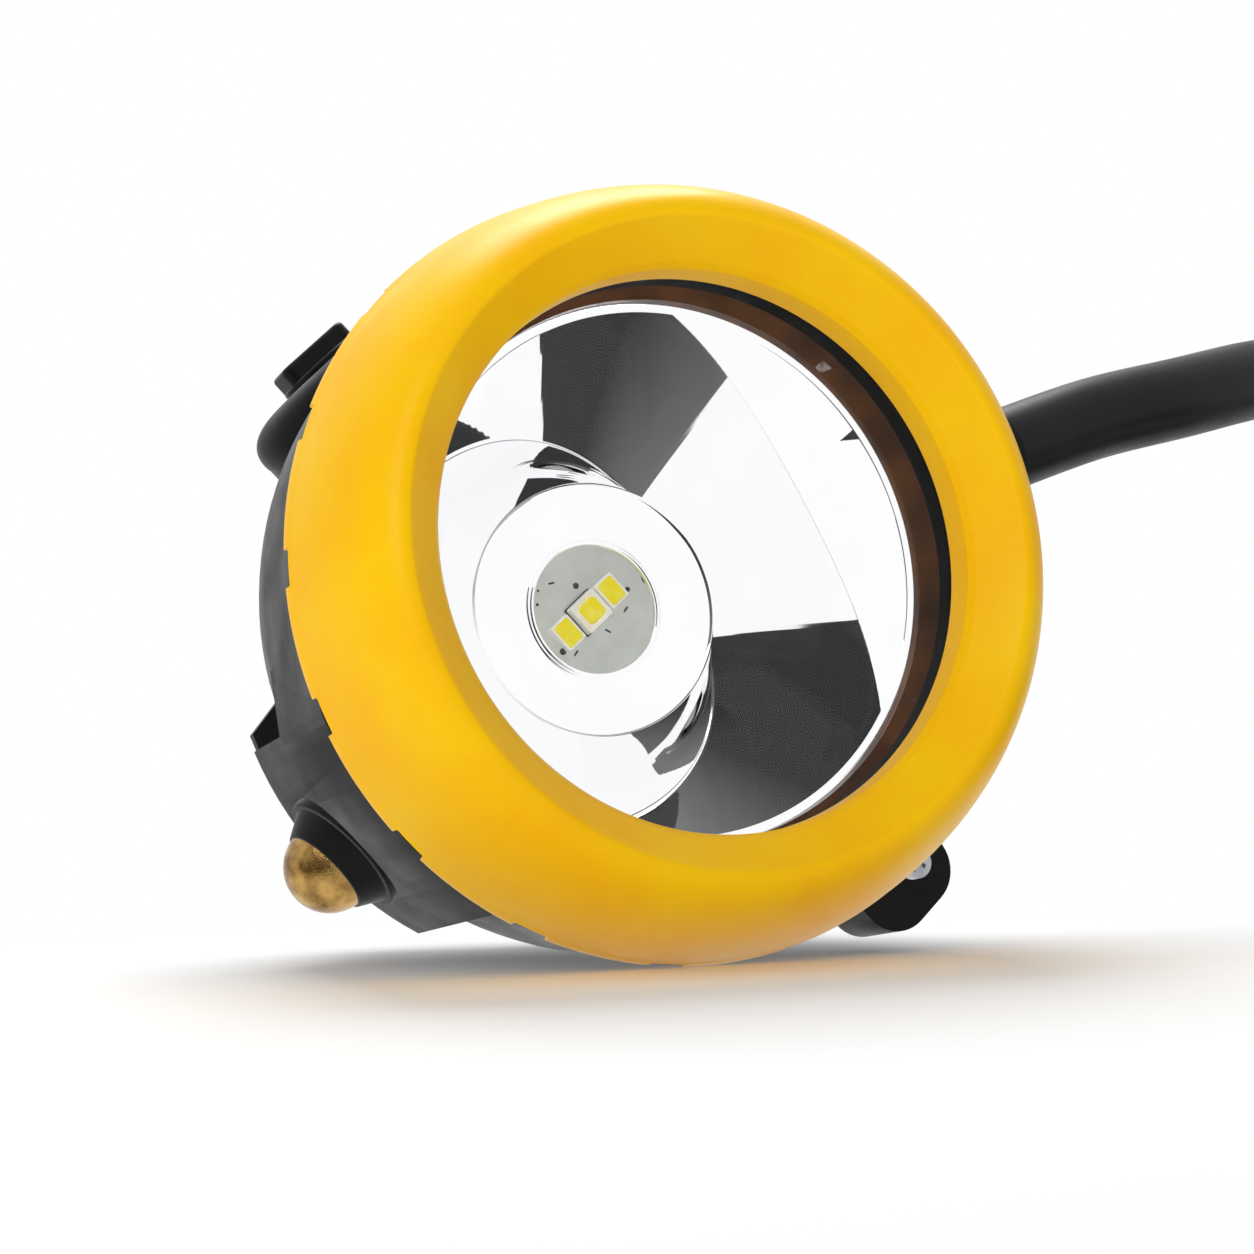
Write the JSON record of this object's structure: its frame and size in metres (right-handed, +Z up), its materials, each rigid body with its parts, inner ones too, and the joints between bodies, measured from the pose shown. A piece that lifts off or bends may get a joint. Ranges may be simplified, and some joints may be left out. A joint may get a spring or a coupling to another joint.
{
  "type": "miner's cap lamp headpiece",
  "caption": "Round miner's cap lamp headpiece with a screw-on front ring, deep reflector, rotary switch, charging contact, helmet hook and coiled cable.",
  "frame": {"origin": "middle of the lamp's own box, without its cable, at the surface it lies on", "axes": "+Z up; +X along the lamp's longest extent, from the switch side to the cable gland; +Y from the light opening to the helmet hook"},
  "size_m": [0.2339, 0.1339, 0.0759],
  "materials": {
    "bezel_yellow": "satin, moulded",
    "housing_black": "satin, moulded",
    "lens_clear": "clear, polished",
    "mirror": "metallised, mirror bright",
    "seal_rubber": "matte",
    "cable_rubber": "matte, smooth sheath",
    "slip_plastic": "smooth, low friction",
    "amber_plastic": "translucent amber",
    "board_white": "white solder mask on aluminium",
    "light_white": "ceramic white",
    "light_yellow": "phosphor",
    "zinc_steel": "zinc plated",
    "sink_aluminium": "plain",
    "hook_steel": "stainless sheet",
    "board_green": "solder mask",
    "parts_dark": "moulded cases",
    "rotor_plastic": "moulded",
    "brass": "plain, a little aged",
    "fibre_red": "insulating board",
    "tinned": "tin plated",
    "core_red": "smooth insulation",
    "core_black": "smooth insulation",
    "lead_red": "smooth insulation",
    "lead_blue": "smooth insulation"
  },
  "bodies": {
    "housing": {"lens_gasket": "seal_rubber", "lens": "lens_clear", "spacer_ring": "amber_plastic", "rim_seal": "seal_rubber", "reflector": "mirror", "light_board": "board_white", "main_light": "light_white", "main_emitter": "light_yellow", "side_lights": "light_white", "side_emitters": "light_yellow", "board_screws": "zinc_steel", "heat_sink": "sink_aluminium", "sink_screws": "zinc_steel", "shell": "housing_black", "driver_board": "board_green", "driver_parts": "parts_dark", "driver_screws": "zinc_steel", "switch_bush": "brass", "shaft_seal": "seal_rubber", "switch_base": "fibre_red", "switch_contacts": "brass", "charge_stud": "brass", "stud_collar": "housing_black", "stud_washer": "fibre_red", "stud_tag": "tinned", "stud_nut": "brass", "key_contact": "brass", "lock_screw": "zinc_steel", "lock_insert": "brass", "helmet_hook": "hook_steel", "hook_screws": "zinc_steel", "gland_nut": "housing_black", "gland_seal": "seal_rubber", "strain_relief": "seal_rubber", "cable_inlet": "cable_rubber", "cable_ring": "zinc_steel", "core_red": "core_red", "core_black": "core_black", "light_leads": "lead_red", "stud_lead": "lead_blue", "switch_leads": "lead_blue", "cable": "cable_rubber", "cable_coil": "cable_rubber", "battery_bush": "cable_rubber", "end_core_red": "core_red", "end_core_black": "core_black", "ring_lugs": "tinned"},
    "slip": {"slip_ring": "slip_plastic"},
    "front_ring": {"bezel": "bezel_yellow"},
    "switch": {"switch_knob": "housing_black", "switch_shaft": "zinc_steel", "switch_clip": "zinc_steel", "switch_rotor": "rotor_plastic", "rotor_bridge": "brass"}
  },
  "joints": [
    {"name": "bezel_lift", "type": "slide", "parent": "housing", "child": "slip", "axis": [0, -0.9911, 0.1335], "range_m": [0, 0.004]},
    {"name": "bezel_turn", "type": "hinge", "parent": "slip", "child": "front_ring", "pos_m": [-0.006, -0.0115, 0.03796], "axis": [0, -0.9911, 0.1335], "range_deg": [0, 720]},
    {"name": "knob_turn", "type": "hinge", "parent": "housing", "child": "switch", "pos_m": [-0.03089, 0.02089, 0.06119], "axis": [-0.673, 0.0987, 0.733], "range_deg": [0, 120]}
  ],
  "couplings": [
    {"joint": "bezel_lift", "follows": "bezel_turn", "m_per_rad": 0.00031831}
  ]
}
